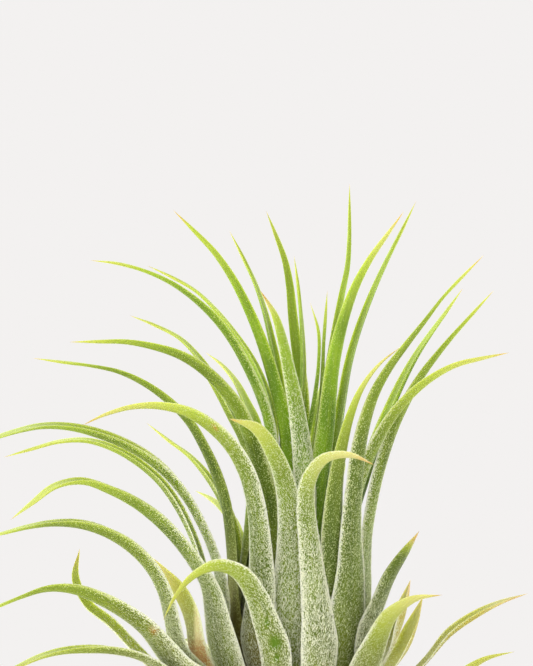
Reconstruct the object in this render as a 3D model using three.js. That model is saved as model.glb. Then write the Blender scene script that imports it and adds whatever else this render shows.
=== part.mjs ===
// An air plant: one upright rosette of stiff, channelled, tapering leaves round a short stem.
// Millimetres, +Z up. The origin is the middle of the flat underside of the stem.
// Azimuths ("turn") are counted from +X towards +Y in degrees, so 270 faces the front.
import * as THREE from "three";

// ---- driving dimensions ----

// the stem: a short stalk with a flat foot, thin at the top
const STEM_FOOT_RADIUS = 6;
const STEM_FOOT_HEIGHT = 1;
const STEM_WAIST_RADIUS = 4.2;
const STEM_WAIST_HEIGHT = 2.2;
const STEM_TOP_RADIUS = 1.1;
const STEM_HEIGHT = 32;
const STEM_SIDES = 12;

// the bulb: the sheaths lie round the stem in rings, each ring outside the last
const HEART_RADIUS = 2.4;
const RING_PITCH = 1.22;
const OUTER_RING = 16;
const HEART_ROOT_HEIGHT = 30;
const OUTER_ROOT_HEIGHT = 4;
// a sheath climbs this much for each millimetre it swells out, and this much more at its root
const BELLY_RISE = 0.95;
const ROOT_RISE = 2;
// part of the way out and up where a sheath is at its roundest
const CUP_OUT = 0.7;
const CUP_UP = 0.3;
// the sheath stands up the bulb where the leaf's own way starts at least this far above it
const STANDING_RISE = 5;
// how the whole plant leans along X: [height, x of its middle]
const LEAN = [[0, 0], [12, -2], [30, -3], [50, -2.5], [65, 0], [75, 3], [120, 3]];

// the blade: its thickness and width, and the channel along its upper face
const BLADE_THICKNESS = 0.85;
const TIP_THICKNESS = 0.62;
const TIP_HALF_WIDTH = 0.32;
// the sheath flares out below the blade; the lower the power, the blunter the blade's tip
const BLADE_WIDTH_SHARE = 0.66;
const FLARE_LENGTH = 30;
const TAPER_POWER = 0.6;
const WIDEST_SECTOR = 55;
const CHANNEL_SHARE = 0.34;
const CHANNEL_ENDS_AT = 1.02;
const CHANNEL_FADE = 0.3;
const KEEL_SHARE = 0.4;
const FREE_AFTER = 0.1;
const FREE_FADE = 0.25;
// the outer face turns up at this part of its half width, and is this high there
const KNEE_AT = 0.55;
const KNEE_CHANNEL = 0.28;
const KNEE_THICKNESS = 0.08;
// a leaf turns aside late along its way
const ASIDE_POWER = 1.2;

// the sections along a leaf: close together at the root, wider apart on the blade
const ROOT_SPACING = 3.2;
const ROOT_STATIONS = 5;
const BLADE_SPACING = 5.8;

// how far leaves stay apart, and how they are bent clear of each other
const CLEARANCE = 0.35;
const BEND_ROUNDS = 60;
const DEEPEST_BEND = 3;
const SMALLEST_BEND = 0.02;
const NEAREST_REACH = 12;
const NEIGHBOUR_REACH = 10;
const PAST_END = 0.8;
const BEND_SHARED = 0.2;

// colours of the leaves, from the heart to the outermost ring, and of the stem
const HEART_GREEN = 0x7f9f2a;
const SILVER_GREEN = 0xa9b884;
const STEM_BROWN = 0x6b5a35;

// Leaves from the heart outwards. ring: its place in the bulb. turn: azimuth of the sheath.
// sheath: width there. taper: the blade's taper power, if not the usual one. depth: y of the tip.
// roll: degrees by which the blade turns its underside to the front.
// way: points [x, z] of the midrib, or [x, z, y], from the bulb to the tip.
const LEAVES = [
  // the heart
  { ring: 0, turn: 20, sheath: 5, depth: 5, way: [[4.2, 74], [4.6, 84], [5.5, 96]] },
  { ring: 0, turn: 200, sheath: 5, depth: -1, way: [[3.2, 76], [3.9, 85], [3.5, 89], [2, 93.6]] },
  { ring: 1, turn: 160, sheath: 7, depth: 4, way: [[0.4, 76], [0.6, 84], [0, 94], [-1.2, 103]] },
  { ring: 1, turn: 60, sheath: 6, depth: 14, way: [[5, 74], [8.1, 93], [9.7, 101.5], [10, 117.5]] },
  { ring: 2, turn: 110, sheath: 7, depth: 14, way: [[0.4, 70], [-1.4, 89], [-2.8, 101], [-6.8, 112]] },
  { ring: 2, turn: 236, sheath: 8, depth: -7,
    way: [[-2.8, 64], [-5, 76], [-9.6, 90], [-16, 102], [-25.4, 112]] },
  { ring: 3, turn: 150, sheath: 6.5, depth: 9, way: [[-3.2, 68], [-6.4, 89], [-9.2, 98], [-14.2, 108]] },
  { ring: 3, turn: 300, sheath: 10.7, taper: 0.72, depth: -6,
    way: [[5.2, 66], [7.3, 83.5], [12, 98.5], [20.8, 111.8]] },
  { ring: 3, turn: 42, sheath: 5.5, depth: 10, way: [[7.6, 68], [10.4, 83.5], [15.2, 97], [23.4, 114]] },
  { ring: 4, turn: 285, sheath: 9.5, depth: -10,
    way: [[0.8, 54], [-0.2, 70], [-2.6, 82], [-4.6, 90], [-8, 96]] },
  // the upper left and the upper right
  { ring: 4, turn: 160, sheath: 7, depth: 12,
    way: [[-5.4, 69], [-8.6, 80], [-14.4, 89], [-21, 96], [-30.8, 101]] },
  { ring: 5, turn: 200, sheath: 8, depth: -8,
    way: [[-5.8, 66], [-9.8, 78.8], [-16.3, 89.5], [-25, 97], [-34, 100.8], [-42, 101.9]] },
  { ring: 5, turn: 135, sheath: 8, depth: 24, way: [[-8.4, 66], [-11.6, 75], [-14.6, 80], [-19, 83.5]] },
  { ring: 5, turn: 25, sheath: 8.5, depth: 12, way: [[14.8, 64], [18.6, 73.5], [23.4, 83], [32.8, 96.5]] },
  { ring: 9, turn: 335, sheath: 8.5, depth: -1,
    way: [[9.8, 44], [11.6, 56], [15.4, 65.5], [21.2, 74], [30, 80.5], [42, 83.5]] },
  { ring: 6, turn: 240, sheath: 9, depth: -18, roll: 15,
    way: [[-6.8, 54], [-8.8, 62], [-12.8, 72.5], [-21.6, 81.6], [-33, 85.4], [-46, 85.6]] },
  { ring: 6, turn: 185, sheath: 8, depth: 3, way: [[-10, 61], [-15.6, 73.5], [-19, 79.5], [-23.4, 84]] },
  { ring: 6, turn: 140, sheath: 7.5, depth: 22,
    way: [[-9, 50], [-10.4, 63], [-14.4, 73], [-20.4, 82.5], [-25, 87], [-34.4, 91]] },
  // the belly, front and sides
  { ring: 8, turn: 270, sheath: 9.5, taper: 0.45, depth: -20,
    way: [[-1.8, 42], [-2.8, 56], [-5.6, 64], [-10.2, 69.6], [-14.2, 70.4]] },
  { ring: 7, turn: 203, sheath: 9, depth: -8, roll: 15,
    way: [[-14, 42.5], [-15.2, 54], [-18.4, 63], [-23.4, 71.2], [-34.6, 79.2], [-53.4, 82.4]] },
  { ring: 7, turn: 150, sheath: 8, depth: 20,
    way: [[-13, 42], [-13.6, 48], [-16, 54.6], [-20.7, 61.3], [-23.6, 63.9], [-27.4, 66.6], [-31, 69.4]] },
  { ring: 7, turn: 112, sheath: 7, depth: 30,
    way: [[-12, 44], [-13.8, 49.6], [-16.2, 52.6], [-18.6, 54.4], [-21.2, 55.6]] },
  { ring: 11, turn: 317, sheath: 12, taper: 1.25, depth: -20,
    way: [[9.4, 34], [11.2, 56], [12.4, 66.5], [16, 79], [22.9, 88.9], [36.6, 103]] },
  { ring: 9, turn: 245, sheath: 9, taper: 0.48, depth: -27, roll: 15,
    way: [[-8, 38], [-10.2, 57], [-14.6, 65.5], [-23.6, 72], [-35, 72.5], [-43.4, 69]] },
  { ring: 10, turn: 303, sheath: 10.8, taper: 1, depth: -17,
    way: [[7.2, 34], [6.9, 50], [8.2, 63], [11.2, 74], [14.6, 80], [20.2, 84.8]] },
  { ring: 9, turn: 178, sheath: 7.4, depth: 2, roll: 15,
    way: [[-20.4, 43.5], [-25.2, 54], [-30.4, 60], [-39, 65], [-46, 66], [-59.4, 62.5]] },
  { ring: 12, turn: 293, sheath: 7.9, taper: 0.36, depth: -26,
    way: [[3.5, 30], [2.2, 44.5], [1.4, 53.5], [2.4, 59.4], [7.2, 63.5], [14.8, 61.2]] },
  { ring: 10, turn: 208, sheath: 11, depth: -28, roll: 20,
    way: [[-16, 38, -11], [-20.2, 50, -15], [-26, 59, -18], [-34.6, 65.2, -20], [-49, 69], [-66.4, 65]] },
  { ring: 10, turn: 346, sheath: 10.8, taper: 0.85, depth: 14,
    way: [[13.1, 32], [13.9, 48], [17.6, 65], [23.6, 77.5], [30.4, 86.5], [39, 96]] },
  { ring: 12, turn: 255, sheath: 6.5, taper: 0.26, depth: -34,
    way: [[-4.6, 22], [-6.5, 29], [-9.4, 36], [-13.4, 40.4], [-18.6, 40.8], [-24, 36.5], [-27.2, 30.5]] },
  { ring: 12, turn: 222, sheath: 12.2, depth: -34, roll: 20,
    way: [[-15.6, 23], [-18.2, 36], [-22.4, 43], [-28.6, 50.5], [-37, 56], [-46, 58], [-57.4, 50.4]] },
  { ring: 12, turn: 168, sheath: 9.5, taper: 0.8, depth: 10, roll: -35,
    way: [[-20.6, 23], [-22, 30], [-24.2, 34.9], [-27.4, 39.1], [-31.6, 43.8]] },
  // short and low leaves round the foot of the bulb
  { ring: 12, turn: 14, sheath: 11, taper: 0.25, depth: 8, way: [[17.8, 24], [19.8, 30], [22.2, 38]] },
  { ring: 13, turn: 338, sheath: 10.4, taper: 0.4, depth: -10,
    way: [[13.2, 26], [15.4, 32], [17.9, 38], [20.6, 43], [23.8, 48]] },
  { ring: 13, turn: 212, sheath: 14.5, taper: 0.75, depth: -22, roll: 12,
    way: [[-24, 23], [-27.4, 35.2], [-31.8, 43], [-39.8, 48.3], [-49, 49.6], [-64.4, 46.4]] },
  { ring: 13, turn: 38, sheath: 9, taper: 0.32, depth: 16, way: [[19.6, 22], [21.6, 26], [24.8, 34.5]] },
  { ring: 13, turn: 164, sheath: 8, depth: 6, way: [[-25.6, 24], [-29, 27.8], [-34, 31.8], [-41, 35.8]] },
  { ring: 14, turn: 315, sheath: 9, depth: -22,
    way: [[13.2, 21], [15.6, 26.5], [18.2, 31], [22, 34.3], [28.3, 35.4]] },
  { ring: 14, turn: 231, sheath: 14.5, taper: 1.05, depth: -28,
    way: [[-24.4, 20.6], [-29.8, 27.2], [-36, 32.2], [-43.6, 36], [-49.8, 36.7], [-65.4, 31]] },
  { ring: 14, turn: 184, sheath: 4.2, taper: 0.15, depth: -2, roll: 40,
    way: [[-31.8, 23], [-36, 27.6], [-39.8, 31], [-43.6, 34.3], [-45, 37.5], [-44.5, 41.2], [-44, 44.4]] },
  { ring: 14, turn: 350, sheath: 8, depth: -4, roll: -15,
    way: [[23.8, 20.2], [27.4, 24.8], [32, 29.1], [39.2, 33.3], [45.6, 35.4]] },
  { ring: 15, turn: 228, sheath: 9, depth: -36, roll: 15,
    way: [[-28.4, 21.4], [-34, 23.6], [-40, 24.6], [-49, 24], [-59.4, 20]] },
  { ring: 15, turn: 330, sheath: 8.5, depth: -14, way: [[28, 16], [34, 21], [38, 23], [42.8, 24]] },
  // the back, as full as the front
  { ring: 4, turn: 80, sheath: 8, depth: 28, way: [[3, 60, 10], [4, 72, 17], [5, 79, 28]] },
  { ring: 6, turn: 95, sheath: 8, depth: 38, way: [[-3, 50, 14], [-5, 62, 23], [-7, 67, 38]] },
  { ring: 6, turn: 48, sheath: 8, depth: 30, way: [[6, 48, 11], [8, 58, 18], [9, 62, 30]] },
  { ring: 8, turn: 75, sheath: 8.5, depth: 44, way: [[2, 38, 16], [4, 50, 25], [5, 54, 44]] },
  { ring: 9, turn: 118, sheath: 8, depth: 44, way: [[-10, 34, 16], [-13, 44, 27], [-15, 47, 44]] },
  { ring: 9, turn: 35, sheath: 8, depth: 34, way: [[9, 32, 11], [11, 42, 20], [12, 46, 34]] },
  { ring: 10, turn: 90, sheath: 9, depth: 50, way: [[-2, 26, 19], [-2, 37, 29], [-1, 40, 50]] },
  { ring: 13, turn: 66, sheath: 9, depth: 46, way: [[9, 17, 24], [13, 25, 34], [16, 26, 46]] },
  { ring: 13, turn: 128, sheath: 9, depth: 46, way: [[-15, 17, 22], [-22, 25, 33], [-27, 24, 46]] },
  // the oldest, bent down until they rest on what the plant stands on
  { ring: 16, turn: 22, sheath: 8.5, depth: 16, way: [[24, 12, 8.5], [34, 7, 12], [42, 0.1, 15]] },
  { ring: 16, turn: 88, sheath: 8.5, depth: 42, way: [[0, 12, 25], [1, 7, 35], [3, 0.1, 43]] },
  { ring: 16, turn: 152, sheath: 8.5, depth: 22, way: [[-26, 12, 13], [-35, 7, 18], [-43, 0.1, 22]] },
  { ring: 16, turn: 250, sheath: 8.5, depth: -38, way: [[-15, 12, -22], [-20, 7, -31], [-24, 0.1, -39]] },
  { ring: 16, turn: 305, sheath: 8.5, depth: -36, way: [[13, 12, -22], [19, 7, -30], [25, 0.1, -37]] },
];

// ---- helpers ----

function mix(a, b, t) {
  return a + (b - a) * t;
}

function clamp(value, low, high) {
  return Math.min(high, Math.max(low, value));
}

function radians(degrees) {
  return (degrees * Math.PI) / 180;
}

// the stem's radius at a height
function stemRadius(z) {
  return mix(STEM_WAIST_RADIUS, STEM_TOP_RADIUS, clamp(z / STEM_HEIGHT, 0, 1));
}

// x of the middle of the plant at a height
function leanAt(z) {
  const height = clamp(z, 0, LEAN[LEAN.length - 1][0] - 1);
  const above = LEAN.findIndex(([level]) => level > height);
  const [z0, x0] = LEAN[above - 1];
  const [z1, x1] = LEAN[above];
  const t = (height - z0) / (z1 - z0);
  return mix(x0, x1, t * t * (3 - 2 * t));
}

// a point round the middle of the plant
function onBulb(turn, radius, z) {
  const angle = radians(turn);
  return new THREE.Vector3(leanAt(z) + radius * Math.cos(angle), radius * Math.sin(angle), z);
}

function radiusOf(point) {
  return Math.hypot(point.x - leanAt(point.z), point.y);
}

// ---- one leaf as stations along its midrib ----

function ringRadius(ring) {
  return HEART_RADIUS + RING_PITCH * ring;
}

// the part of the leaf's way that lies before each of its points
function wayShares(way) {
  const reach = [0];
  for (let i = 1; i < way.length; i += 1) {
    const [x, z] = way[i];
    const [xLast, zLast] = way[i - 1];
    reach.push(reach[i - 1] + Math.hypot(x - xLast, z - zLast));
  }
  return reach.map((length) => length / reach[reach.length - 1]);
}

// the midrib: out of the stem, round the belly of the bulb, and along the leaf's own way
function midribCurve(leaf) {
  const rootHeight = mix(HEART_ROOT_HEIGHT, OUTER_ROOT_HEIGHT, leaf.ring / OUTER_RING);
  const rootRadius = stemRadius(rootHeight) + CLEARANCE + BLADE_THICKNESS / 2;
  const belly = ringRadius(leaf.ring);
  const rise = (belly - rootRadius) * BELLY_RISE + ROOT_RISE;
  const root = onBulb(leaf.turn, rootRadius, rootHeight);
  const cup = onBulb(leaf.turn, mix(rootRadius, belly, CUP_OUT), rootHeight + CUP_UP * rise);
  const points = [root, cup];
  if (leaf.way[0][1] > rootHeight + rise + STANDING_RISE) {
    points.push(onBulb(leaf.turn, belly, rootHeight + rise));
  }
  const firstDepth = belly * Math.sin(radians(leaf.turn));
  const shares = wayShares(leaf.way);
  leaf.way.forEach(([x, z, y], i) => {
    points.push(new THREE.Vector3(x, y ?? mix(firstDepth, leaf.depth, shares[i] ** ASIDE_POWER), z));
  });
  return new THREE.CatmullRomCurve3(points, false, "centripetal");
}

// half the width that a leaf's neighbours in its ring leave it: wider sheaths get more of the room
function sectorHalfWidth(leaf) {
  let sector = WIDEST_SECTOR;
  LEAVES.filter((other) => other.ring === leaf.ring && other !== leaf).forEach((other) => {
    const apart = Math.abs(((other.turn - leaf.turn + 540) % 360) - 180);
    sector = Math.min(sector, (apart * leaf.sheath) / (leaf.sheath + other.sheath));
  });
  return ringRadius(leaf.ring) * Math.sin(radians(sector)) - CLEARANCE / 2;
}

// the half width: growing out to the belly of the bulb, flared there, then the blade's long taper
function halfWidth(leaf, station, bellyShare, length) {
  const full = Math.min(leaf.sheath / 2, sectorHalfWidth(leaf));
  if (station.share <= bellyShare) {
    return full * Math.min(1, radiusOf(station.at) / ringRadius(leaf.ring));
  }
  const left = (1 - station.share) / (1 - bellyShare);
  const blade = full * BLADE_WIDTH_SHARE * left ** (leaf.taper ?? TAPER_POWER);
  const past = ((station.share - bellyShare) * length) / FLARE_LENGTH;
  const flare = full * (1 - BLADE_WIDTH_SHARE) * clamp(1 - past, 0, 1) ** 2;
  return Math.max(TIP_HALF_WIDTH, blade + flare);
}

// where along a leaf its sections are, as parts of its length
function stationShares(length) {
  const rootShare = (ROOT_SPACING * ROOT_STATIONS) / length;
  const count = Math.round((length * (1 - rootShare)) / BLADE_SPACING);
  const shares = [];
  for (let i = 0; i < ROOT_STATIONS; i += 1) {
    shares.push((rootShare * i) / ROOT_STATIONS);
  }
  for (let i = 0; i <= count; i += 1) {
    shares.push(mix(rootShare, 1, i / count));
  }
  return shares;
}

// each station: its place, width and thickness, and how free of the bulb the blade is there
function layStations(leaf) {
  const curve = midribCurve(leaf);
  const length = curve.getLength();
  const shares = stationShares(length);
  const stations = shares.map((share) => ({ at: curve.getPointAt(share), share }));
  const belly = ringRadius(leaf.ring);
  const reached = stations.find(({ at }) => radiusOf(at) > belly - CLEARANCE);
  stations.forEach((station) => {
    station.half = halfWidth(leaf, station, reached.share, length);
    station.thick = mix(BLADE_THICKNESS, TIP_THICKNESS, station.share);
    station.free = clamp((station.share - reached.share - FREE_AFTER) / FREE_FADE, 0, 1);
    station.turn = leaf.turn;
    station.roll = (leaf.roll ?? 0) / (stations.length - ROOT_STATIONS);
  });
  return stations;
}

// the channel's depth: wrapped round the bulb at the sheath, a share of the width further on
function channelDepth(station) {
  const round = Math.max(radiusOf(station.at), station.half + CLEARANCE);
  const wrap = round - Math.sqrt(round ** 2 - station.half ** 2);
  const blade = 2 * station.half * CHANNEL_SHARE;
  const fade = clamp((CHANNEL_ENDS_AT - station.share) / CHANNEL_FADE, 0, 1);
  return mix(wrap, blade, station.free) * fade;
}

// turns every station's frame: along the midrib, across the blade, and up to its inner face
function frameStations(stations) {
  stations.forEach((station, i) => {
    const before = stations[Math.max(0, i - 1)].at;
    const after = stations[Math.min(stations.length - 1, i + 1)].at;
    station.along = after.clone().sub(before).normalize();
    const angle = radians(station.turn);
    const side = i === 0
      ? new THREE.Vector3(-Math.sin(angle), Math.cos(angle), 0)
      : stations[i - 1].across.clone().applyAxisAngle(station.along, -radians(station.roll));
    station.across = side.addScaledVector(station.along, -side.dot(station.along)).normalize();
    station.inner = station.along.clone().cross(station.across).normalize();
    station.channel = channelDepth(station);
    station.keel = -KEEL_SHARE * station.channel * station.free - station.thick / 2;
  });
}

// how high the outer and the inner face of a blade lie at a distance across it
function outerFace(station, across) {
  const aside = Math.min(1, Math.abs(across) / station.half);
  const knee = KNEE_CHANNEL * station.channel + KNEE_THICKNESS * station.thick;
  const rim = station.channel + station.thick / 2;
  if (aside < KNEE_AT) {
    return station.keel + mix(0, knee, aside / KNEE_AT);
  }
  return station.keel + mix(knee, rim, (aside - KNEE_AT) / (1 - KNEE_AT));
}

function innerFace(station, across) {
  const aside = Math.min(1, Math.abs(across) / station.half);
  return station.keel + mix(station.thick, station.channel + station.thick / 2, aside);
}

// the crescent section: [across, towards the inner face], counted round from the left edge
function section(station) {
  const outer = [-1, -KNEE_AT, 0, KNEE_AT, 1].map((aside) => {
    const across = aside * station.half;
    return [across, outerFace(station, across)];
  });
  return [...outer, [0, innerFace(station, 0)]];
}

// a section's point in space, kept above what the plant stands on
function place(station, [across, inwards]) {
  const point = station.at.clone()
    .addScaledVector(station.across, across)
    .addScaledVector(station.inner, inwards);
  point.z = Math.max(0, point.z);
  return point;
}

// ---- bending leaves clear of the ones inside them ----

// the index of the station nearest to a point, or -1 where none is near
function nearestStation(stations, point) {
  let nearest = -1;
  let leastDistance = NEAREST_REACH ** 2;
  stations.forEach((station, i) => {
    const distance = station.at.distanceToSquared(point);
    if (distance < leastDistance) {
      leastDistance = distance;
      nearest = i;
    }
  });
  return nearest;
}

// the place of a point in a frame slid along the midrib to it, or null where it is past the ends
function localPlace(stations, point) {
  const nearest = nearestStation(stations, point);
  if (nearest < 0) {
    return null;
  }
  const best = stations[nearest];
  const along = point.clone().sub(best.at).dot(best.along);
  const next = stations[clamp(nearest + Math.sign(along), 0, stations.length - 1)];
  if (next === best) {
    return null;
  }
  const slide = Math.abs(along) / best.at.distanceTo(next.at);
  if (slide > PAST_END) {
    return null;
  }
  const at = best.at.clone().lerp(next.at, slide);
  const inner = best.inner.clone().lerp(next.inner, slide).normalize();
  const across = best.across.clone().lerp(next.across, slide).normalize();
  const from = point.clone().sub(at);
  return {
    half: mix(best.half, next.half, slide),
    thick: mix(best.thick, next.thick, slide),
    channel: mix(best.channel, next.channel, slide),
    keel: mix(best.keel, next.keel, slide),
    inner,
    across: from.dot(across),
    height: from.dot(inner),
  };
}

// how far a station of the new leaf lies over a laid leaf's outer face
function overLaidFace(station, laid) {
  const most = { depth: 0, way: station.inner };
  for (const corner of section(station)) {
    const spot = localPlace(laid, place(station, corner));
    if (spot && Math.abs(spot.across) < spot.half + CLEARANCE && spot.inner.dot(station.inner) > 0) {
      const depth = spot.height - (outerFace(spot, spot.across) - CLEARANCE);
      if (depth > most.depth && depth < DEEPEST_BEND) {
        most.depth = depth;
        most.way = spot.inner;
      }
    }
  }
  return most;
}

// how far a laid leaf's stations lie under the new leaf's inner face, near one of its stations
function underOwnFace(station, laid, own) {
  const most = { depth: 0, way: station.inner };
  const near = laid.filter((other) => other.at.distanceTo(station.at) < NEIGHBOUR_REACH);
  for (const other of near) {
    for (const corner of section(other)) {
      const spot = localPlace(own, place(other, corner));
      if (spot && Math.abs(spot.across) < spot.half + CLEARANCE && spot.inner.dot(other.inner) > 0) {
        const depth = innerFace(spot, spot.across) + CLEARANCE - spot.height;
        if (depth > most.depth && depth < DEEPEST_BEND) {
          most.depth = depth;
        }
      }
    }
  }
  return most;
}

// the move that takes a station of the new leaf clear of every laid leaf
function moveNeeded(station, laidLeaves, own) {
  let deepest = { depth: 0, way: station.inner };
  for (const laid of laidLeaves) {
    for (const found of [overLaidFace(station, laid), underOwnFace(station, laid, own)]) {
      if (found.depth > deepest.depth) {
        deepest = found;
      }
    }
  }
  return deepest.way.clone().multiplyScalar(-deepest.depth);
}

// bends a leaf outwards, its root held, until it is clear of the leaves already laid
function bendClear(stations, laidLeaves) {
  for (let round = 0; round < BEND_ROUNDS; round += 1) {
    const moves = stations.map((station, i) => (
      i === 0 ? new THREE.Vector3() : moveNeeded(station, laidLeaves, stations)
    ));
    const largest = Math.max(...moves.map((move) => move.length()));
    if (largest < SMALLEST_BEND) {
      return;
    }
    for (let i = 1; i < stations.length; i += 1) {
      const after = moves[Math.min(moves.length - 1, i + 1)];
      stations[i].at.addScaledVector(moves[i], 1 - 2 * BEND_SHARED)
        .addScaledVector(moves[i - 1], BEND_SHARED)
        .addScaledVector(after, BEND_SHARED);
    }
    frameStations(stations);
  }
}

// ---- solids ----

// a closed tube of equal rings, closed by a point at each end
function loft(rings, start, end) {
  const sides = rings[0].length;
  const points = [start, ...rings.flat(), end];
  const positions = [];
  const face = (...corners) => corners.forEach((c) => positions.push(...points[c].toArray()));
  const corner = (ring, side) => 1 + ring * sides + (side % sides);
  const last = rings.length - 1;
  for (let side = 0; side < sides; side += 1) {
    face(0, corner(0, side + 1), corner(0, side));
    face(points.length - 1, corner(last, side), corner(last, side + 1));
  }
  for (let ring = 0; ring < last; ring += 1) {
    for (let side = 0; side < sides; side += 1) {
      face(corner(ring, side), corner(ring, side + 1), corner(ring + 1, side));
      face(corner(ring, side + 1), corner(ring + 1, side + 1), corner(ring + 1, side));
    }
  }
  const geometry = new THREE.BufferGeometry();
  geometry.setAttribute("position", new THREE.Float32BufferAttribute(positions, 3));
  return geometry;
}

function leafSolid(stations) {
  const open = stations.slice(0, -1);
  const rings = open.map((station) => section(station).map((corner) => place(station, corner)));
  return loft(rings, stations[0].at, stations[stations.length - 1].at);
}

// the stem's outline from the foot up: [radius, height]
function stemProfile() {
  const profile = [
    [STEM_FOOT_RADIUS, 0],
    [STEM_FOOT_RADIUS, STEM_FOOT_HEIGHT],
  ];
  const steps = 3;
  for (let i = 0; i <= steps; i += 1) {
    const z = mix(STEM_WAIST_HEIGHT, STEM_HEIGHT - STEM_TOP_RADIUS, i / steps);
    profile.push([stemRadius(z), z]);
  }
  return profile;
}

function stemSolid() {
  const rings = stemProfile().map(([radius, z]) => {
    const ring = [];
    for (let side = 0; side < STEM_SIDES; side += 1) {
      ring.push(onBulb((360 * side) / STEM_SIDES, radius, z));
    }
    return ring;
  });
  return loft(rings, onBulb(0, 0, 0), onBulb(0, 0, STEM_HEIGHT));
}

// ---- the plant ----

const plant = new THREE.Group();
plant.name = "air_plant";

function addPiece(name, geometry, color) {
  const material = new THREE.MeshStandardMaterial({ color, roughness: 0.75, metalness: 0 });
  const mesh = new THREE.Mesh(geometry, material);
  mesh.name = name;
  plant.add(mesh);
}

// green at the heart, silvery towards the outside
function leafColor(ring) {
  return new THREE.Color(HEART_GREEN).lerp(new THREE.Color(SILVER_GREEN), ring / OUTER_RING);
}

addPiece("stem", stemSolid(), STEM_BROWN);

const laidLeaves = [];
const outwards = [...LEAVES].sort((one, other) => one.ring - other.ring);
outwards.forEach((leaf, i) => {
  const stations = layStations(leaf);
  frameStations(stations);
  bendClear(stations, laidLeaves);
  laidLeaves.push(stations);
  addPiece(`leaf_${String(i + 1).padStart(2, "0")}`, leafSolid(stations), leafColor(leaf.ring));
});

export default plant;
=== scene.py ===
"""An air plant: fine leaves, their silvery hairs, and a pale studio round it.

Lengths are in metres, in the same frame as the solids.
"""

import math

import bpy
import numpy as np
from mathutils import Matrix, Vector


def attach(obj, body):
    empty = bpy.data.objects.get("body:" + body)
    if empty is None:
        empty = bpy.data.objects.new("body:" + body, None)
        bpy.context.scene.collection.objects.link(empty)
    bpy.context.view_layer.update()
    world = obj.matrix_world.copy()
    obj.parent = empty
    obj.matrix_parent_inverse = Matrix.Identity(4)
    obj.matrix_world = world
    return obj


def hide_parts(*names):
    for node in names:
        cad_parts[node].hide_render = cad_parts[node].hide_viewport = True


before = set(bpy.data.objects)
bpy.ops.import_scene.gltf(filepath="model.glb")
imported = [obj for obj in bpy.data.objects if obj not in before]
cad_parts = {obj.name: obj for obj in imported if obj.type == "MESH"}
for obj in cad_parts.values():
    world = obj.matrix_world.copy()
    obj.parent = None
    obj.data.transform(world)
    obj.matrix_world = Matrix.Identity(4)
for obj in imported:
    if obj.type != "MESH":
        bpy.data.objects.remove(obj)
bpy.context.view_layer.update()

MM = 0.001

# the fine skin of a leaf: the step along it, and its points across the outer face and the channel
FINE_SPACING = 1.3 * MM
OUTER_POINTS = 13
INNER_POINTS = 7
# a solid's section: its six points, and where the five of the outer face lie from edge to edge
SECTION_POINTS = 6
OUTER_PLACES = [-1.0, -0.55, 0.0, 0.55, 1.0]
# the sections among which a sheath is widest, counted from the root
SHEATH_SECTIONS = slice(1, 8)
# a solid's doubled points agree to this many decimals
SAME_DECIMALS = 7

# leaves counted from the heart outwards
LEAF_COUNT = 57
HEART_LEAVES = 15
YOUNGEST_OLD_LEAF = 41
TONE_SEED = 7

# how much of a leaf's length, counted from its tip, has turned yellow
USUAL_RIPENESS = 0.14
RIPENESS = {
    6: 0.18, 8: 0.22, 10: 0.12, 11: 0.3, 14: 0.3, 18: 0.2, 22: 0.3, 23: 0.4, 24: 0.2,
    26: 0.3, 27: 0.36, 28: 0.3, 31: 0.3, 36: 0.2, 37: 0.4, 38: 0.25, 39: 0.4, 40: 0.8,
    41: 0.1, 43: 0.9, 44: 0.4, 47: 0.45, 49: 0.9, 50: 1.1, 51: 0.25, 52: 0.6,
}
# how much of it has turned cream: this share of the yellow part, or a share of the leaf's own
USUAL_PALE_SHARE = 0.8
PALE_TIPS = {
    6: 0.06, 11: 0.15, 24: 0.2, 31: 0.22, 36: 0.3, 40: 0.2, 43: 0.15, 47: 0.4, 49: 0.15, 50: 0.3,
}
# how far the sheaths have turned brown: on the inner leaves, on the others, and on some leaves apart
INNER_LEAVES = 33
BROWN_INNER = 0.9
BROWN_OUTER = 0.2
BROWN_SHEATHS = {24: 0.1, 39: 0.9, 44: 0.7, 46: 0.9}
# painted shade: the leaves that stand in the shade of others, painted a deeper green low down
PAINTED_SHADE_LEAVES = {21: 0.5, 22: 0.4, 31: 0.6, 33: 0.2, 35: 0.45, 41: 0.75, 42: 0.3}
# spots on the leaves: number of the leaf, x and z of the spot, and its radius, in millimetres
FRESH_SPOTS = [(37, -5.0, 25.6, 1.3), (37, -4.6, 22.4, 0.7), (37, -6.6, 29.6, 0.6)]
RUSTY_SPOTS = [
    (27, -16.6, 68.4, 0.6), (10, -7.2, 95.4, 0.8), (48, -29.2, 28.6, 0.9), (39, -20.0, 21.5, 4.4),
]
# leaves with a papery right side: the x where it starts and the height that it ends at, in millimetres
PAPERY_SIDES = {39: (-21.1, 36.0)}
# leaves with a thicker coat than their age gives, or, below zero, a thinner one
MORE_COATED = {
    5: 0.3, 10: 1.0, 13: 0.2, 21: -0.4, 24: 0.3, 28: -0.1, 31: -0.5, 33: -0.3, 35: -0.4,
    36: 0.05, 37: -0.2, 38: -0.15, 39: -0.5, 41: -0.1, 42: -0.25, 43: -0.35, 47: -0.35,
    48: -0.15, 50: -0.4, 51: -0.25, 52: -0.4,
}
# leaves that arch out low down, whose coat thins earlier
ARCHING = (28, 32, 38, 42, 48, 51)
# leaves whose coat stays thick up to the tip
COATED_TIPS = (10, 24, 36)
# leaves that stand inside others, and so have thinly coated sheaths that are brown further up
ENCLOSED = range(11, 24)
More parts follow.
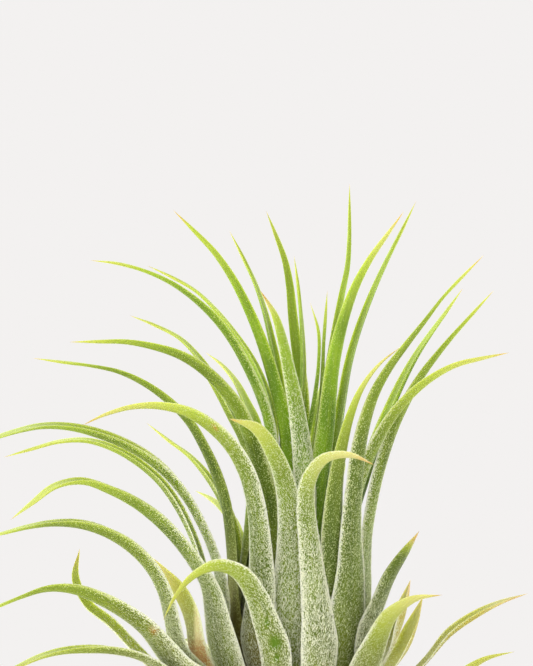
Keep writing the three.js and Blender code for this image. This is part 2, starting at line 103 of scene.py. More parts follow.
# how dry the tips are: brown over a tenth of this, and from 0.8 on the yellow behind turns orange
USUAL_DRYNESS = 0.25
DRY_TIPS = {
    6: 0.55, 8: 0.6, 10: 0.7, 24: 0.5, 26: 0.5, 27: 0.6, 31: 0.7, 35: 0.5, 36: 0.8,
    39: 1.1, 40: 1.6, 41: 0.9, 43: 1.4, 47: 0.7, 49: 0.9, 50: 1.4,
}

# the coat of hairs: on the youngest leaf, and how much is added between two ages, 0 young and 1 old
YOUNGEST_COAT = 0.25
COAT_OF_AGE = 0.65
COATED_AGES = (0.05, 0.65)
# it thins between these heights, and again over a share of a leaf's length towards its tip
COAT_THINS_ABOVE = 35 * MM
COAT_THIN_ABOVE = 95 * MM
THINNER_HIGH_UP = 0.6
THINS_FROM = 0.45
ARCHING_THINS_FROM = 0.28
THINS_OVER = 0.5
THINNER_AT_TIP = 0.8
COATED_TIP_THINNER = 0.4
# on the enclosed leaves it starts thin, and is full from the upper height
ENCLOSED_COAT = 0.25
ENCLOSED_COAT_FROM = 42 * MM
ENCLOSED_COAT_FULL = 72 * MM

# sheaths are brown up to the lower height, and green again from the next
BROWN_BELOW = 20 * MM
GREEN_ABOVE = 40 * MM
ENCLOSED_GREEN_ABOVE = 56 * MM
# the painted shade lies below these heights
PAINTED_SHADE_BELOW = (55 * MM, 95 * MM)
# a papery side sets in from this far before its start to as far past it, and fades over this height
PAPERY_EDGE = 0.4 * MM
PAPERY_TOP = 3 * MM
# a spot fades out between these shares of its radius
SPOT_EDGE = (0.5, 1.3)

# hairs: how many where there is hardly a coat and where it is full, and how they follow it
HAIR_SEED = 7000
SPARSE_HAIRS = 1.0 / MM**2
DENSE_HAIRS = 8.0 / MM**2
HAIRS_FOLLOW_COAT = 1.3
# the channel has fewer, and the strips along a leaf's edges have more
HAIRS_IN_CHANNEL = 0.5
MORE_AT_EDGES = 1.8
# the shares of a leaf between which they begin at its root and thin out towards its tip
HAIRS_BEGIN = (0.04, 0.1)
HAIRS_END = (0.5, 0.9)
FEWER_AT_TIP = 0.85
# a hair's size where the coat is thin, and what a full coat adds to it
HAIR_LENGTH = 0.34
LONGER_HAIR = 0.36
HAIR_WIDTH = 0.07
WIDER_HAIR = 0.05
HAIR_SIZES = (0.7, 1.25)
# how far its point is lifted for its length, and how far it strays from the leaf's length
HAIR_LIFTS = (0.10, 0.45)
HAIR_STRAY = 0.35
# its foot is sunk into the leaf, and it is thickest at its crown
HAIR_SUNK = 0.02 * MM
HAIR_CROWN = 0.05 * MM
CROWN_PLACE = 0.3
HAIRS_A_PIECE = 45000
# keeps a face without an area from being divided by nothing
LEAST_AREA = 1e-12

# edges are shaded smooth up to this angle
SMOOTH_UP_TO = math.radians(50)

# the stem: the angle from which an edge of its foot or top is kept, and how firmly
KEPT_EDGE = math.radians(60)
EDGE_CREASE = 0.9
STEM_ROUNDING = 3

# the studio: where the camera and the lights are aimed, and how tall the camera's upright picture is there
AIM = Vector((-6.7 * MM, 0.0, 87.4 * MM))
CAMERA_DISTANCE = 3.0
VIEW_HEIGHT = 133.2 * MM
SENSOR = 36.0
FLOOR_RADIUS = 0.85
FLOOR_DROP = 0.2 * MM
WORLD_LIGHT = 0.76
WORLD_TINT = (1.0, 0.99, 0.96)
# place, size and power of each lamp
LAMPS = {
    "left": ((-1.1, 0.3, 0.6), 0.6, 17),
    "right": ((1.0, 0.8, 0.5), 0.6, 9),
    "back": ((-0.1, 0.75, 1.1), 0.8, 12),
    "front": ((-0.2, -1.2, 0.4), 0.8, 6),
}


# ---- small helpers ----


def linear(red, green, blue):
    """A colour as seen on a screen, 0 to 255, as light."""
    shares = [value / 255 for value in (red, green, blue)]
    return tuple(((s + 0.055) / 1.055) ** 2.4 if s > 0.04045 else s / 12.92 for s in shares)


def smooth(low, high, value):
    """0 up to the low value, 1 from the high one, and an even rise between them."""
    t = np.clip((value - low) / (high - low), 0, 1)
    return t * t * (3 - 2 * t)


def smooth_track(stops, values, at):
    """Values read from a smooth curve that passes through the given values at the given stops."""
    stops = np.asarray(stops, float)
    values = np.asarray(values, float)
    steps = np.diff(stops)
    shape = (-1,) + (1,) * (values.ndim - 1)
    slopes = np.diff(values, axis=0) / steps.reshape(shape)
    before, after = steps[:-1].reshape(shape), steps[1:].reshape(shape)
    tangents = np.empty_like(values)
    tangents[0], tangents[-1] = slopes[0], slopes[-1]
    tangents[1:-1] = (slopes[:-1] * after + slopes[1:] * before) / (before + after)
    index = np.clip(np.searchsorted(stops, at, side="right") - 1, 0, len(steps) - 1)
    length = steps[index].reshape(shape)
    t = (np.asarray(at) - stops[index]).reshape(shape) / length
    t2, t3 = t * t, t * t * t
    return (
        (2 * t3 - 3 * t2 + 1) * values[index]
        + (t3 - 2 * t2 + t) * length * tangents[index]
        + (3 * t2 - 2 * t3) * values[index + 1]
        + (t3 - t2) * length * tangents[index + 1]
    )


def new_piece(name, mesh):
    piece = bpy.data.objects.new(name, mesh)
    bpy.context.scene.collection.objects.link(piece)
    return piece


def pick(piece):
    """Makes this the one piece that the next operators work on."""
    bpy.ops.object.select_all(action="DESELECT")
    piece.select_set(True)
    bpy.context.view_layer.objects.active = piece


def shade_by_angle(piece):
    """Smooth shading that keeps sharp edges crisp."""
    pick(piece)
    bpy.ops.object.shade_smooth_by_angle(angle=SMOOTH_UP_TO)


# ---- reading a leaf's sections from its solid ----


def joined_corners(mesh):
    """A mesh's points with the doubled ones joined, and its faces by those points."""
    corners = np.array([vertex.co for vertex in mesh.vertices])
    points, which = np.unique(np.round(corners, SAME_DECIMALS), axis=0, return_inverse=True)
    which = which.ravel()
    faces = [[int(which[i]) for i in polygon.vertices] for polygon in mesh.polygons]
    return points, faces


def neighbour_sets(count, faces):
    """For each point, the points that an edge joins it to."""
    sets = [set() for _ in range(count)]
    for face in faces:
        for a, b in zip(face, face[1:] + face[:1]):
            sets[a].add(b)
            sets[b].add(a)
    return sets


def walk_round(layer, sets):
    """The points of one section in order round it."""
    order = [min(layer)]
    while len(order) < len(layer):
        order.append(min(n for n in sets[order[-1]] if n in layer and n not in order))
    return order


def layers_from(start, sets):
    """The points by how many edges away from the start they are."""
    seen = {start}
    layers = [[start]]
    while True:
        onward = sorted({n for i in layers[-1] for n in sets[i]} - seen)
        if not onward:
            return layers
        seen.update(onward)
        layers.append(onward)


def leaf_sections(node):
    """The solid's sections from root to tip as points [section, place, xyz], and the tip's point.

    The places are: one edge, outer knee, keel, outer knee, other edge, channel. A solid closes at each
    end in one point, whose neighbours all have five neighbours. The root's point is the one that lies
    closer to them.
    """
    points, faces = joined_corners(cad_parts[node].data)
    sets = neighbour_sets(len(points), faces)
    ends = [i for i, near in enumerate(sets) if all(len(sets[n]) == 5 for n in near)]
    reaches = [np.linalg.norm(points[sorted(sets[i])] - points[i], axis=1).mean() for i in ends]
    root = ends[int(np.argmin(reaches))]
    layers = layers_from(root, sets)
    rings = [points[walk_round(layer, sets)] for layer in layers[1:-1]]
    widths = [np.ptp(ring, axis=0).max() for ring in rings]
    widest = int(np.argmax(widths[SHEATH_SECTIONS])) + SHEATH_SECTIONS.start
    rings[widest] = edges_first(rings[widest])
    for i in range(widest + 1, len(rings)):
        rings[i] = turned_like(rings[i], rings[i - 1])
    for i in range(widest - 1, -1, -1):
        rings[i] = turned_like(rings[i], rings[i + 1])
    return np.array(rings), points[layers[-1][0]]


def edges_first(ring):
    """The section turned so that its two edges, the points furthest apart, are the first and the fifth."""
    turns = [np.roll(ring, -i, axis=0) for i in range(SECTION_POINTS)]
    return max(turns, key=lambda r: np.linalg.norm(r[0] - r[4]))


def turned_like(ring, model):
    """The section turned, or counted the other way, so that its points match those of the model."""
    target = model - model.mean(axis=0)
    both_ways = [ring, ring[::-1]]
    choices = [np.roll(way, i, axis=0) for way in both_ways for i in range(SECTION_POINTS)]
    return min(choices, key=lambda r: ((r - r.mean(axis=0) - target) ** 2).sum())


# ---- one fine leaf ----


def section_weights():
    """How much of each of the six places goes into every point of a fine section.

    Returns where each point lies from edge to edge too, from -1 to 1.
    """
    outer = np.linspace(-1, 1, OUTER_POINTS)
    inner = np.linspace(1, -1, INNER_POINTS + 2)[1:-1]
    weights = np.zeros((OUTER_POINTS + INNER_POINTS, SECTION_POINTS))
    weights[:OUTER_POINTS, :5] = smooth_track(OUTER_PLACES, np.eye(5), outer)
    weights[OUTER_POINTS:, 0] = inner * (inner - 1) / 2
    weights[OUTER_POINTS:, 4] = inner * (inner + 1) / 2
    weights[OUTER_POINTS:, 5] = 1 - inner**2
    return weights, np.concatenate([outer, inner])


def leaf_grid(node):
    """The fine surface of a leaf, as points [section, point, xyz] closed by the tip, and its sizes."""
    rings, tip = leaf_sections(node)
    middles = np.vstack([rings.mean(axis=1), tip])
    stops = np.concatenate([[0], np.cumsum(np.linalg.norm(np.diff(middles, axis=0), axis=1))])
    coarse = np.concatenate([rings, np.tile(tip, (1, SECTION_POINTS, 1))])
    count = int(round(stops[-1] / FINE_SPACING))
    at = np.linspace(0, stops[-1], count + 1)[:-1]
    fine = smooth_track(stops, coarse, at)
    weights, across = section_weights()
    grid = np.einsum("pk,nkx->npx", weights, fine)
    half = np.linalg.norm(fine[:, 4] - fine[:, 0], axis=1) / 2
    return {
        "grid": grid, "tip": tip, "along": at, "length": stops[-1], "across": across, "half": half,
    }


def leaf_faces(sections, around):
    """Faces of a leaf's skin: four-sided along it, a cap at the root and a fan at the tip."""
    faces = []
    for row in range(sections - 1):
        for k in range(around):
            after = (k + 1) % around
            low, high = row * around, (row + 1) * around
            faces.append((low + k, low + after, high + after, high + k))
    last = (sections - 1) * around
    tip = sections * around
    faces.extend((last + k, last + (k + 1) % around, tip) for k in range(around))
    faces.append(tuple(range(around))[::-1])
    return faces


def enclosed_volume(points, faces):
    """The volume inside a closed skin, below zero where its faces point inwards."""
    total = 0.0
    for face in faces:
        a = points[face[0]]
        for b, c in zip(face[1:-1], face[2:]):
            total += np.dot(a, np.cross(points[b], points[c]))
    return total / 6


def add_measure(mesh, name, values):
    """One number for each point of a mesh, which the materials read by its name."""
    layer = mesh.attributes.new(name, "FLOAT", "POINT")
    layer.data.foreach_set("value", np.asarray(values, np.float32))


def coat_amount(number, heights, share):
    """How thickly a leaf is covered in hairs, from 0 to 1: most on old leaves, low down, at the root."""
    age = (number - 1) / (LEAF_COUNT - 1)
    by_age = YOUNGEST_COAT + COAT_OF_AGE * smooth(*COATED_AGES, age)
    coat = by_age + MORE_COATED.get(number, 0.0)
    coat = coat * (1 - THINNER_HIGH_UP * smooth(COAT_THINS_ABOVE, COAT_THIN_ABOVE, heights))
    thins_from = ARCHING_THINS_FROM if number in ARCHING else THINS_FROM
    thinner = COATED_TIP_THINNER if number in COATED_TIPS else THINNER_AT_TIP
    coat = coat * (1 - thinner * smooth(thins_from, thins_from + THINS_OVER, share))
    if number in ENCLOSED:
        in_the_open = smooth(ENCLOSED_COAT_FROM, ENCLOSED_COAT_FULL, heights)
        coat = coat * (ENCLOSED_COAT + (1 - ENCLOSED_COAT) * in_the_open)
    return np.clip(coat, 0, 1)


def brown_sheath(number, points):
    """How brown a leaf is near its root, from 0 to 1."""
    usual = BROWN_INNER if number <= INNER_LEAVES else BROWN_OUTER
    green_above = ENCLOSED_GREEN_ABOVE if number in ENCLOSED else GREEN_ABOVE
    return BROWN_SHEATHS.get(number, usual) * (1 - smooth(BROWN_BELOW, green_above, points[:, 2]))


def painted_shade_share(number, points):
    """How much painted shade deepens the green of a leaf, from 0 to 1."""
    return PAINTED_SHADE_LEAVES.get(number, 0.0) * (1 - smooth(*PAINTED_SHADE_BELOW, points[:, 2]))


def papery_side(number, points):
    """How papery a leaf is at each point, from 0 to 1."""
    if number not in PAPERY_SIDES:
        return np.zeros(len(points))
    start, top = (value * MM for value in PAPERY_SIDES[number])
    right_of = smooth(start - PAPERY_EDGE, start + PAPERY_EDGE, points[:, 0])
    return right_of * (1 - smooth(top - PAPERY_TOP, top, points[:, 2]))


def spots_on(number, points, spots):
    """How far each point of a leaf lies inside one of its spots, from 0 to 1."""
    share = np.zeros(len(points))
    for leaf, x, z, radius in spots:
        if leaf == number:
            away = np.hypot(points[:, 0] - x * MM, points[:, 2] - z * MM) / (radius * MM)
            share = np.maximum(share, 1 - smooth(*SPOT_EDGE, away))
    return share


def measures_of_place(leaf):
    """Where each point of a leaf lies: along it, across it, and on its outer face or in its channel."""
    sections, around = leaf["grid"].shape[:2]
    inner = np.zeros(around)
    inner[OUTER_POINTS:] = 1
    share = leaf["along"] / leaf["length"]
    from_keel = np.outer(leaf["half"], leaf["across"]).ravel()
    return {
        "along": np.append(np.repeat(share, around), 1),
        "along_mm": np.append(np.repeat(leaf["along"], around), leaf["length"]) / MM,
        "across": np.append(np.tile(leaf["across"], sections), 0),
        "across_mm": np.append(from_keel, 0) / MM,
        "inner": np.append(np.tile(inner, sections), 0),
    }


def measures_of_the_leaf(number, count):
    """What is the same all over a leaf: how ripe and how dry it is, and a number of its own."""
    ripeness = RIPENESS.get(number, USUAL_RIPENESS)
    own = {
        "tone": np.random.default_rng(TONE_SEED + number).random(),
        "dryness": DRY_TIPS.get(number, USUAL_DRYNESS),
        "ripeness": ripeness,
        "pale_tip": PALE_TIPS.get(number, USUAL_PALE_SHARE * ripeness),
    }
    return {name: np.full(count, value) for name, value in own.items()}


def measures_of_colour(number, points):
    """What differs from place to place on a leaf: its sheath, its painted shade and its marks."""
    return {
        "sheath": brown_sheath(number, points),
        "painted_shade": painted_shade_share(number, points),
        "papery": papery_side(number, points),
        "fresh_spot": spots_on(number, points, FRESH_SPOTS),
        "rusty_spot": spots_on(number, points, RUSTY_SPOTS),
    }


def build_leaf(number):
    """A leaf's fine piece, standing for its solid. Returns its surface for the hairs."""
    node = f"leaf_{number:02d}"
    leaf = leaf_grid(node)
    sections, around = leaf["grid"].shape[:2]
    points = np.vstack([leaf["grid"].reshape(-1, 3), leaf["tip"]])
    faces = leaf_faces(sections, around)
    leaf["faces_out"] = enclosed_volume(points, faces) > 0
    if not leaf["faces_out"]:
        faces = [face[::-1] for face in faces]
    mesh = bpy.data.meshes.new(f"{node}_blade")
    mesh.from_pydata(points.tolist(), [], faces)
    measures = {
        **measures_of_place(leaf),
        **measures_of_the_leaf(number, len(points)),
        **measures_of_colour(number, points),
    }
    coat = coat_amount(number, points[:, 2], measures["along"]) * (1 - measures["fresh_spot"])
    measures["coat"] = coat
    for name, values in measures.items():
        add_measure(mesh, name, values)
    piece = new_piece(f"{node}_blade", mesh)
    shade_by_angle(piece)
    kind = leaf_kind(number)
    mesh.materials.append(LEAF_MATERIALS[kind])
    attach(piece, "root")
    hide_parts(node)
    leaf.update(number=number, kind=kind, coat=coat[:-1].reshape(sections, around))
    return leaf


def leaf_kind(number):
    """The material slot of a leaf."""
    if number <= HEART_LEAVES:
        return "heart_leaf"
    return "leaf" if number < YOUNGEST_OLD_LEAF else "old_leaf"


# ---- hairs ----


def hair_counts(leaf, areas, rng):
    """How many hairs grow on every little face of a leaf, as [section, point]."""
    around = areas.shape[1]
    density = SPARSE_HAIRS + (DENSE_HAIRS - SPARSE_HAIRS) * leaf["coat"][:-1] ** HAIRS_FOLLOW_COAT
    facing = np.where(np.arange(around) < OUTER_POINTS - 1, 1.0, HAIRS_IN_CHANNEL)
    facing[[0, 1, OUTER_POINTS - 3, OUTER_POINTS - 2]] *= MORE_AT_EDGES
    share = leaf["along"][:-1] / leaf["length"]
    grown = smooth(*HAIRS_BEGIN, share) * (1 - FEWER_AT_TIP * smooth(*HAIRS_END, share))
    return rng.poisson(areas * density * facing[None, :] * grown[:, None])


def unit(vectors):
    """The vectors at a length of one."""
    return vectors / np.linalg.norm(vectors, axis=1, keepdims=True)


def leaf_hairs(leaf):
    """Small shields lying on a leaf, each a closed four-sided sliver pointing to the tip."""
    rng = np.random.default_rng(HAIR_SEED + leaf["number"])
    loop = np.concatenate([leaf["grid"], leaf["grid"][:, :1]], axis=1)
    a, b = loop[:-1, :-1], loop[:-1, 1:]
    c, d = loop[1:, 1:], loop[1:, :-1]
    normals = np.cross(c - a, d - b)
    areas = np.linalg.norm(normals, axis=2) / 2
    normals /= np.maximum(2 * areas, LEAST_AREA)[..., None]
    if not leaf["faces_out"]:
        normals = -normals
    counts = hair_counts(leaf, areas, rng)
    row, column = np.nonzero(counts)
    repeats = counts[row, column]
    here = np.repeat(row, repeats), np.repeat(column, repeats)
    many = len(here[0])
    u, v = rng.random((2, many, 1))
    foot = a[here] * (1 - u) * (1 - v) + b[here] * u * (1 - v) + c[here] * u * v + d[here] * (1 - u) * v
    normal = normals[here]
    onward = unit(d[here] - a[here])
    stray = rng.normal(0, HAIR_STRAY, (many, 1))
    onward = unit(onward + np.cross(normal, onward) * stray)
    side = np.cross(normal, onward)
    size = rng.uniform(*HAIR_SIZES, (many, 1))
    amount = leaf["coat"][here][:, None]
    length = size * (HAIR_LENGTH + LONGER_HAIR * amount) * MM
    width = size * (HAIR_WIDTH + WIDER_HAIR * amount) * MM
    lift = rng.uniform(*HAIR_LIFTS, (many, 1))
    left = foot - side * width / 2 - normal * HAIR_SUNK
    right = foot + side * width / 2 - normal * HAIR_SUNK
    crown = foot + normal * HAIR_CROWN + onward * length * CROWN_PLACE
    point = foot + onward * length + normal * length * lift
    return np.stack([left, right, crown, point], axis=1), amount


def add_hair_pieces(kind, hairs, amounts):
    """Joins the hairs of one kind of leaf into pieces of a bounded size."""
    pieces = math.ceil(len(hairs) / HAIRS_A_PIECE)
    parts = zip(np.array_split(hairs, pieces), np.array_split(amounts, pieces))
    for count, (part, part_amounts) in enumerate(parts, start=1):
        first_corners = np.arange(len(part))[:, None] * 4
        sides = [(0, 1, 2), (0, 3, 1), (1, 3, 2), (2, 3, 0)]
        faces = np.concatenate([first_corners + np.array(side) for side in sides])
        name = f"{kind}_hairs_{count}"
        mesh = bpy.data.meshes.new(name)
        mesh.from_pydata(part.reshape(-1, 3).tolist(), [], faces.tolist())
        add_measure(mesh, "coat", np.repeat(part_amounts, 4))
        mesh.materials.append(HAIR_MATERIAL)
        piece = new_piece(name, mesh)
        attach(piece, "root")


# ---- materials ----

# patterns on a leaf: how many of their steps go on a millimetre across and along it
BLOTCHES = (0.25, 0.07)
STREAKS = (2.2, 0.12)
FROST = (6.5, 2.9)
# how far each leaf's patterns are shifted by its own tone
TONE_SHIFT = 90.0
# the frost: how much its scales vary, from which level they show, and over how much they fade in
SCALE_VARIETY = 0.25
FROST_LEVEL = 0.87
FROST_FADE = 0.14
# how much a full coat lowers that level, and how much more the edges do, bare and coated
COAT_LOWERS = 0.22
EDGES_LOWER = 0.05
COATED_EDGES_LOWER = 0.14
# bumps: the height of a leaf's scales and streaks, and that of the stem's grain
LEAF_BUMP = 0.12 * MM
STEM_BUMP = 0.5 * MM

RIPE_YELLOW = linear(176, 190, 62)
RIPE_ORANGE = linear(176, 158, 44)
GREENISH_CREAM = linear(196, 192, 92)
WARM_CREAM = linear(222, 204, 150)
DRY_BROWN = linear(186, 128, 74)
SHEATH_BROWN = linear(104, 86, 36)
PAPERY_BUFF = linear(214, 198, 146)
RUST = linear(170, 108, 50)
BARE_GREEN = linear(84, 120, 6)
UPPER_GREEN = linear(156, 176, 56)
# painted shade: the deeper green of the leaves that stand in the shade of others
SHADED_GREEN = linear(58, 76, 12)
CHANNEL_GREEN = linear(136, 152, 42)
COATED_GREEN = linear(164, 174, 100)
THIN_FROST = linear(208, 220, 130)
THICK_FROST = linear(226, 228, 196)
# the pale hairy margins, made brighter in part by a painted rim light
THIN_MARGIN_AND_RIM_LIGHT = linear(200, 208, 120)
THICK_MARGIN_AND_RIM_LIGHT = linear(236, 236, 214)
THIN_HAIR = linear(204, 216, 130)
THICK_HAIR = linear(236, 238, 210)
DARK_STEM = linear(78, 58, 34)
PALE_STEM = linear(140, 116, 72)
PAPER = linear(244, 243, 240)
BACKDROP = linear(243, 241, 240)


def new_material(name):
    material = bpy.data.materials.new(name)
    material.use_nodes = True
    tree = material.node_tree
    return material, tree, tree.nodes["Principled BSDF"]


class Wires:
    """Short names for the nodes that the materials are made of."""

    def __init__(self, tree):
        self.tree = tree

    def put(self, socket, value):
        """Wires another node's result into a socket, or sets a plain value or colour there."""
        if isinstance(value, bpy.types.NodeSocket):
            self.tree.links.new(value, socket)
        elif isinstance(value, tuple) and len(value) == 3 and socket.type == "RGBA":
            socket.default_value = (*value, 1)
        else:
            socket.default_value = value

    def measure(self, name):
        """The mesh's own number of that name."""
        node = self.tree.nodes.new("ShaderNodeAttribute")
        node.attribute_name = name
        return node.outputs["Fac"]

    def math(self, operation, a, b):
        node = self.tree.nodes.new("ShaderNodeMath")
        node.operation = operation
        self.put(node.inputs[0], a)
        self.put(node.inputs[1], b)
        return node.outputs[0]

    def times(self, a, b):
        return self.math("MULTIPLY", a, b)

    def plus(self, a, b):
        return self.math("ADD", a, b)

    def minus(self, a, b):
        return self.math("SUBTRACT", a, b)

    def step(self, value, low, high, start=0.0, end=1.0):
        """The start up to the low value, the end from the high one, and a soft rise between them."""
        node = self.tree.nodes.new("ShaderNodeMapRange")
        node.interpolation_type = "SMOOTHSTEP"
        sockets = ("Value", "From Min", "From Max", "To Min", "To Max")
        for name, given in zip(sockets, (value, low, high, start, end)):
            self.put(node.inputs[name], given)
        return node.outputs["Result"]

    def mix(self, share, a, b):
        """From the first colour to the second one, by the share."""
        node = self.tree.nodes.new("ShaderNodeMix")
        node.data_type = "RGBA"
        self.put(node.inputs[0], share)
        self.put(node.inputs[6], a)
        self.put(node.inputs[7], b)
        return node.outputs[2]

    def place(self, x, y, z):
        node = self.tree.nodes.new("ShaderNodeCombineXYZ")
        for socket, value in zip(node.inputs, (x, y, z)):
            self.put(socket, value)
        return node.outputs[0]

    def specks(self, where):
        """1 in the middle of every speck and less away from it, and a number of the speck's own."""
        node = self.tree.nodes.new("ShaderNodeTexVoronoi")
        self.put(node.inputs["Vector"], where)
        self.put(node.inputs["Scale"], 1.0)
        return self.minus(1.0, node.outputs["Distance"]), node.outputs["Color"]

    def noise(self, where, scale, detail):
        node = self.tree.nodes.new("ShaderNodeTexNoise")
        self.put(node.inputs["Vector"], where)
        self.put(node.inputs["Scale"], scale)
        self.put(node.inputs["Detail"], detail)
        return node.outputs["Fac"]


def add_bump(w, skin, height, distance, strength):
    bump = w.tree.nodes.new("ShaderNodeBump")
    bump.inputs["Distance"].default_value = distance
    bump.inputs["Strength"].default_value = strength
    w.put(bump.inputs["Height"], height)
    w.put(skin.inputs["Normal"], bump.outputs[0])


def leaf_green(w, spread, deep, fresh, pale):
    """The green of a leaf in long blotches and fine streaks. Returns the streaks too."""
    blotches = w.noise(spread(*BLOTCHES), scale=1.0, detail=2.0)
    streaks = w.noise(spread(*STREAKS), scale=1.0, detail=3.0)
    body = w.mix(w.step(blotches, 0.35, 0.65), deep, fresh)
    return w.mix(w.times(w.step(streaks, 0.45, 0.7), 0.4), body, pale), streaks


def ripened(w, body, along):
    """Yellow, then cream, then brown towards the tip, and brown at the root."""
    to_tip = w.minus(1.0, along)
    dryness = w.measure("dryness")
    ripe = w.math("DIVIDE", to_tip, w.measure("ripeness"))
    yellow = w.mix(w.step(dryness, 0.8, 1.3), RIPE_YELLOW, RIPE_ORANGE)
    body = w.mix(w.step(ripe, 1.4, 0.3, 0.0, 0.85), body, yellow)
    pale = w.math("DIVIDE", to_tip, w.measure("pale_tip"))
    cream = w.mix(w.step(dryness, 0.3, 0.9), GREENISH_CREAM, WARM_CREAM)
    body = w.mix(w.step(pale, 1.0, 0.0, 0.0, 0.75), body, cream)
    dried = w.math("DIVIDE", to_tip, dryness)
    body = w.mix(w.step(dried, 0.1, 0.0, 0.0, 0.9), body, DRY_BROWN)
    return w.mix(w.measure("sheath"), body, SHEATH_BROWN)


def marked(w, body, fresh_spot):
    """The papery side, the rusty spots and the spots without a coat."""
    body = w.mix(w.times(w.measure("papery"), 0.8), body, PAPERY_BUFF)
    body = w.mix(w.times(w.measure("rusty_spot"), 0.8), body, RUST)
    return w.mix(w.times(fresh_spot, 0.9), body, BARE_GREEN)


def frosted(w, body, spread, coat, coated, to_edge):
    """A frost of small scales, thicker where the coat is and towards the edges.

    Returns the scales' own shape too, and where they show.
    """
    scales, own = w.specks(spread(*FROST))
    scales = w.plus(scales, w.times(own, SCALE_VARIETY))
    level = w.plus(w.times(coated, -COAT_LOWERS), FROST_LEVEL)
    more_aside = w.plus(w.times(coated, COATED_EDGES_LOWER), EDGES_LOWER)
    level = w.minus(level, w.times(more_aside, w.step(to_edge, 0.4, 0.95)))
    shown = w.step(w.minus(scales, level), 0.0, FROST_FADE)
    silver = w.mix(w.step(coat, 0.0, 0.8), THIN_FROST, THICK_FROST)
    strength = w.step(coat, 0.0, 0.8, 0.6, 0.85)
    return w.mix(w.times(shown, strength), body, silver), scales, shown


def pale_margins_and_painted_rim_light(w, body, along, coat, to_edge, scales):
    """A pale, ragged line along both edges, which fades towards the tip: the pale hairy margins,
    brightened in part by a painted rim light.
    """
    rim = w.step(w.plus(to_edge, w.times(scales, 0.3)), 0.95, 1.14)
    rim = w.times(rim, w.step(coat, 0.05, 0.45, 0.15, 0.85))
    rim = w.times(rim, w.step(along, 0.55, 0.9, 1.0, 0.3))
    return w.mix(rim, body, w.mix(w.step(coat, 0.0, 0.5), THIN_MARGIN_AND_RIM_LIGHT, THICK_MARGIN_AND_RIM_LIGHT))


def leaf_material(name, deep, fresh, pale):
    """A leaf's skin: green turning yellow towards the tip, with pale edges that are partly a painted rim
    light, under a frost of scales.
    """
    material, tree, skin = new_material(name)
    w = Wires(tree)
    along, coat = w.measure("along"), w.measure("coat")
    fresh_spot = w.measure("fresh_spot")
    to_edge = w.math("ABSOLUTE", w.measure("across"), 0.0)
    inside = w.step(w.measure("inner"), 0.2, 0.9)
    x, y = w.measure("across_mm"), w.measure("along_mm")
    leaf_own = w.times(w.measure("tone"), TONE_SHIFT)

    def spread(over, onward):
        """The place in a pattern that has so many steps for a millimetre across and along the leaf."""
        return w.place(w.times(x, over), w.times(y, onward), leaf_own)

    body, streaks = leaf_green(w, spread, deep, fresh, pale)
    body = w.mix(w.step(along, 0.45, 0.95, 0.0, 0.5), body, UPPER_GREEN)
    # painted shade: a deeper green low down on the leaves that stand in the shade of others
    body = w.mix(w.measure("painted_shade"), body, SHADED_GREEN)
    body = ripened(w, body, along)
    body = w.mix(w.times(inside, 0.5), body, CHANNEL_GREEN)
    body = marked(w, body, fresh_spot)

    bare = w.math("MAXIMUM", fresh_spot, w.times(inside, 0.4))
    coated = w.times(coat, w.minus(1.0, bare))
    body = w.mix(w.times(coated, 0.1), body, COATED_GREEN)
    body, scales, shown = frosted(w, body, spread, coat, coated, to_edge)
    # pale hairy margins along both edges, partly a painted rim light
    body = pale_margins_and_painted_rim_light(w, body, along, coat, to_edge, scales)

    w.put(skin.inputs["Base Color"], body)
    skin.inputs["Roughness"].default_value = 0.62
    skin.inputs["Specular IOR Level"].default_value = 0.3
    skin.inputs["Subsurface Weight"].default_value = 0.3
    skin.inputs["Subsurface Radius"].default_value = (0.9, 1.0, 0.3)
    skin.inputs["Subsurface Scale"].default_value = 1.2 * MM
    skin.inputs["Sheen Weight"].default_value = 0.1
    skin.inputs["Sheen Roughness"].default_value = 0.35
    add_bump(w, skin, w.plus(shown, w.times(streaks, 0.8)), LEAF_BUMP, 0.8)
    return material


def hair_material():
    """Green where the coat is thin, and silvery where it is thick."""
    material, tree, skin = new_material("leaf_hair")
    w = Wires(tree)
    silver = w.mix(w.step(w.measure("coat"), 0.1, 0.9), THIN_HAIR, THICK_HAIR)
    w.put(skin.inputs["Base Color"], silver)
    skin.inputs["Roughness"].default_value = 0.5
    skin.inputs["Specular IOR Level"].default_value = 0.4
    return material


def stem_material():
    """Brown and fibrous, with a fine grain."""
    material, tree, skin = new_material("stem")
    w = Wires(tree)
    where = tree.nodes.new("ShaderNodeTexCoord").outputs["Object"]
    grain = w.noise(where, scale=900.0, detail=4.0)
    w.put(skin.inputs["Base Color"], w.mix(grain, DARK_STEM, PALE_STEM))
    skin.inputs["Roughness"].default_value = 0.85
    add_bump(w, skin, grain, STEM_BUMP, 1.0)
    return material


def plain_material(name, color, roughness):
    material, _tree, skin = new_material(name)
    skin.inputs["Base Color"].default_value = (*color, 1)
    skin.inputs["Roughness"].default_value = roughness
    skin.inputs["Specular IOR Level"].default_value = 0.2
    return material


# ---- the stem ----


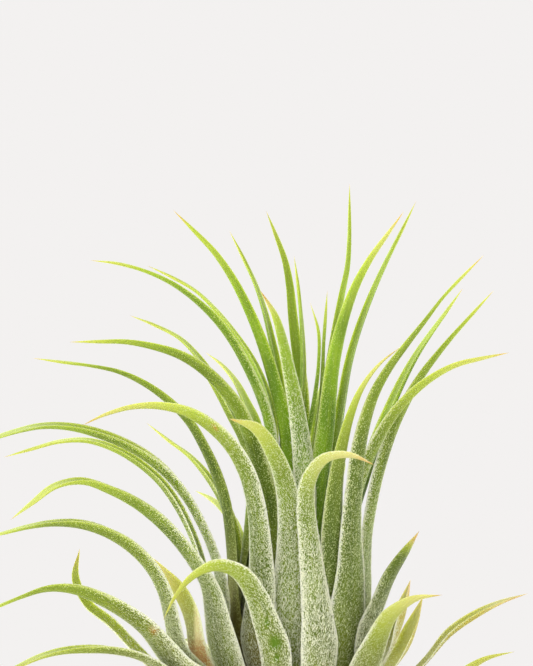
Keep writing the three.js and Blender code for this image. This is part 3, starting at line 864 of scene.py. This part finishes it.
def build_stem():
    """The stem's solid, rounded between its foot and its top."""
    piece = new_piece("stem_fine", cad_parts["stem"].data.copy())
    piece.data.materials.clear()
    pick(piece)
    bpy.ops.object.mode_set(mode="EDIT")
    bpy.ops.mesh.select_all(action="SELECT")
    bpy.ops.mesh.remove_doubles(threshold=0.01 * MM)
    bpy.ops.mesh.tris_convert_to_quads(
        face_threshold=math.radians(40), shape_threshold=math.radians(60)
    )
    bpy.ops.mesh.select_all(action="DESELECT")
    bpy.ops.mesh.edges_select_sharp(sharpness=KEPT_EDGE)
    bpy.ops.transform.edge_crease(value=EDGE_CREASE)
    bpy.ops.object.mode_set(mode="OBJECT")
    round_off = piece.modifiers.new("round", "SUBSURF")
    round_off.levels = STEM_ROUNDING
    round_off.render_levels = STEM_ROUNDING
    bpy.ops.object.modifier_apply(modifier=round_off.name)
    shade_by_angle(piece)
    piece.data.materials.append(stem_material())
    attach(piece, "root")
    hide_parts("stem")


# ---- the studio ----


def build_studio():
    add_floor()
    light_world()
    for name, (place, size, power) in LAMPS.items():
        add_light(name, place, size, power)
    add_camera()
    bpy.context.scene.view_settings.view_transform = "Standard"


def add_floor():
    bpy.ops.mesh.primitive_circle_add(
        vertices=96, radius=FLOOR_RADIUS, fill_type="NGON", location=(0, 0, -FLOOR_DROP)
    )
    floor = bpy.context.object
    floor.name = "floor"
    floor.data.materials.append(plain_material("paper", PAPER, 0.9))


def light_world():
    """A pale backdrop for the camera, and a slightly warmer, dimmer light for all else."""
    world = bpy.data.worlds.new("studio")
    bpy.context.scene.world = world
    world.use_nodes = True
    tree = world.node_tree
    seen = tree.nodes["Background"]
    seen.inputs["Color"].default_value = (*BACKDROP, 1)
    seen.inputs["Strength"].default_value = 1.0
    light = tree.nodes.new("ShaderNodeBackground")
    light.inputs["Color"].default_value = (*WORLD_TINT, 1)
    light.inputs["Strength"].default_value = WORLD_LIGHT
    path = tree.nodes.new("ShaderNodeLightPath")
    either = tree.nodes.new("ShaderNodeMixShader")
    tree.links.new(path.outputs["Is Camera Ray"], either.inputs[0])
    tree.links.new(light.outputs[0], either.inputs[1])
    tree.links.new(seen.outputs[0], either.inputs[2])
    tree.links.new(either.outputs[0], tree.nodes["World Output"].inputs[0])


def add_camera():
    """A level camera in front of the plant."""
    camera = bpy.data.cameras.new("camera")
    camera.sensor_width = SENSOR
    camera.lens = SENSOR * CAMERA_DISTANCE / VIEW_HEIGHT
    camera.clip_start = 0.1
    camera.clip_end = 20
    eye = bpy.data.objects.new("camera", camera)
    eye.location = AIM - Vector((0, CAMERA_DISTANCE, 0))
    eye.rotation_euler = (math.pi / 2, 0, 0)
    bpy.context.scene.collection.objects.link(eye)
    bpy.context.scene.camera = eye


def add_light(name, place, size, power):
    """A soft square lamp turned to the plant, which the camera doesn't see."""
    data = bpy.data.lights.new(name, "AREA")
    data.size = size
    data.energy = power
    lamp = bpy.data.objects.new(name, data)
    lamp.location = place
    lamp.rotation_euler = (AIM - Vector(place)).to_track_quat("-Z", "Y").to_euler()
    lamp.visible_camera = False
    bpy.context.scene.collection.objects.link(lamp)


# ---- the plant ----

HAIR_MATERIAL = hair_material()
# the deeper, the usual and the palest green of each kind of leaf
LEAF_GREENS = {
    "heart_leaf": (linear(80, 116, 0), linear(116, 152, 4), linear(154, 180, 44)),
    "leaf": (linear(76, 98, 6), linear(108, 131, 14), linear(148, 164, 52)),
    "old_leaf": (linear(84, 100, 8), linear(112, 130, 18), linear(148, 160, 56)),
}
LEAF_MATERIALS = {kind: leaf_material(kind, *greens) for kind, greens in LEAF_GREENS.items()}

build_stem()
hairs_by_kind = {kind: [] for kind in LEAF_MATERIALS}
for number in range(1, LEAF_COUNT + 1):
    leaf = build_leaf(number)
    hairs_by_kind[leaf["kind"]].append(leaf_hairs(leaf))
for kind, hairs in hairs_by_kind.items():
    add_hair_pieces(kind, *(np.concatenate(parts) for parts in zip(*hairs)))
build_studio()
